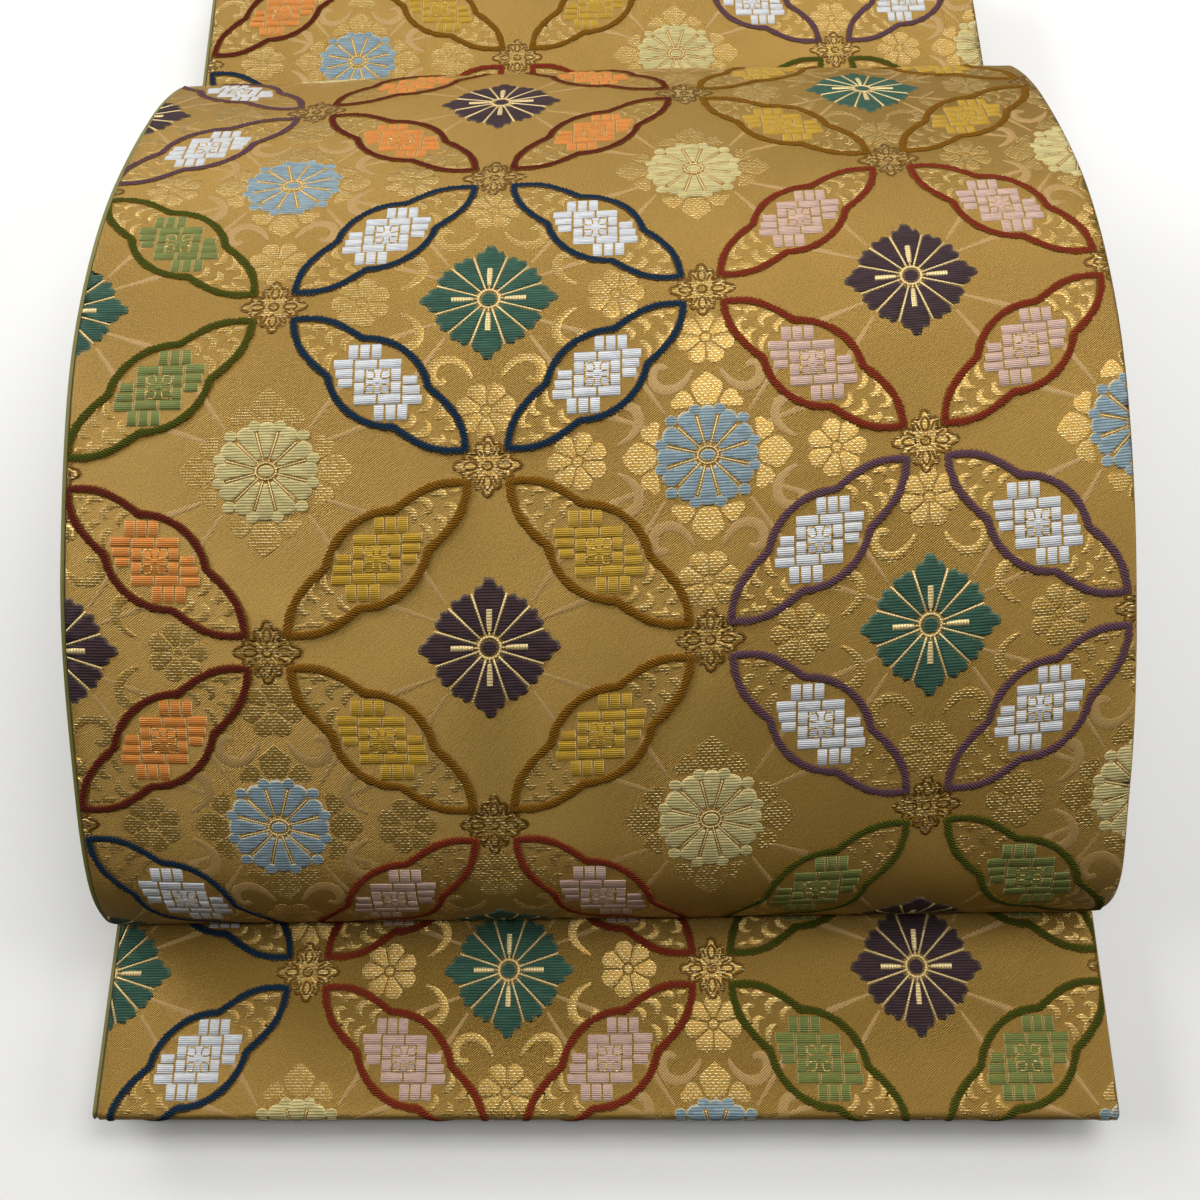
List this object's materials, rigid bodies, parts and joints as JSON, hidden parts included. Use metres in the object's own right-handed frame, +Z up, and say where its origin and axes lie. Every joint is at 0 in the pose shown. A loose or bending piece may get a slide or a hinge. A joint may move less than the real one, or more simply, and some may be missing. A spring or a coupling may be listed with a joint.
{
  "type": "obi sash",
  "caption": "Double-sided brocade obi sash folded on a table, its drum roll standing above a flat flap and back run.",
  "frame": {"origin": "centre of the bounding box, on the underside that lies on the table", "axes": "+X across the cloth to the right, +Y from the front fold to the back, +Z up"},
  "size_m": [0.3142, 0.4716, 0.1044],
  "materials": {
    "gold_brocade": "satin ground with raised silk floats and gold thread",
    "olive_lining": "plain silk lining",
    "layer_edges": "folded cloth edges"
  },
  "bodies": {
    "root": {"back_run_face": "gold_brocade", "back_run_lining": "olive_lining", "drum_face": "gold_brocade", "drum_lining": "olive_lining", "flap_face": "gold_brocade", "flap_lining": "olive_lining", "folded_layers": "layer_edges"}
  },
  "joints": []
}
